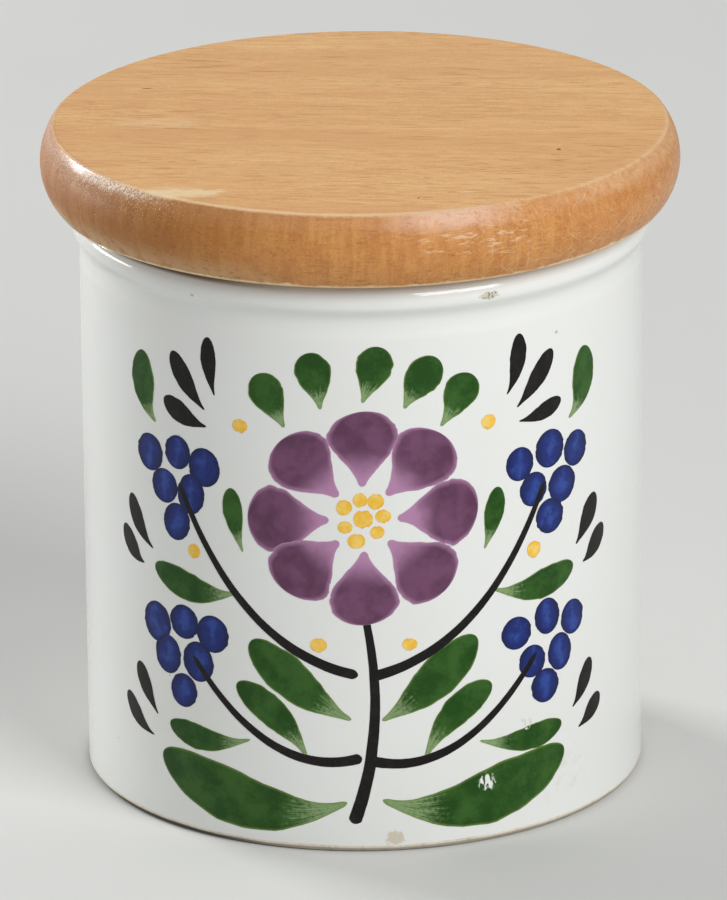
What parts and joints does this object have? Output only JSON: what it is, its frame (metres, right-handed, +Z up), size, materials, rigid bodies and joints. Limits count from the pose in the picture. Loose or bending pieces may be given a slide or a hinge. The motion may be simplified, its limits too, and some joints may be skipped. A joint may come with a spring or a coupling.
{
  "type": "spice jar",
  "caption": "Small straight-sided glazed ceramic jar with a rolled collar and a lift-off turned wooden lid, sealed by a ribbed ring on its plug.",
  "frame": {"origin": "middle of the jar's foot ring, on the surface it stands on", "axes": "+Z up along the jar's axis; -Y is the decorated front, as the picture shows it; +X is the viewer's right"},
  "size_m": [0.0738, 0.0738, 0.0777],
  "materials": {
    "glaze": "glossy white glaze, bare on the foot ring, with fired-on coloured decoration",
    "beech": "turned beech under a worn satin varnish",
    "silicone": "translucent matt silicone"
  },
  "bodies": {
    "jar": {"jar_body": "glaze"},
    "seal": {"lid_seal": "silicone"},
    "lid": {"wooden_lid": "beech"}
  },
  "joints": [
    {"name": "lid_lift", "type": "slide", "parent": "jar", "child": "seal", "axis": [0, 0, 1], "range_m": [0, 0.06]},
    {"name": "lid_turn", "type": "hinge", "parent": "seal", "child": "lid", "pos_m": [0, 0, 0.0689], "axis": [0, 0, 1], "continuous": true}
  ]
}
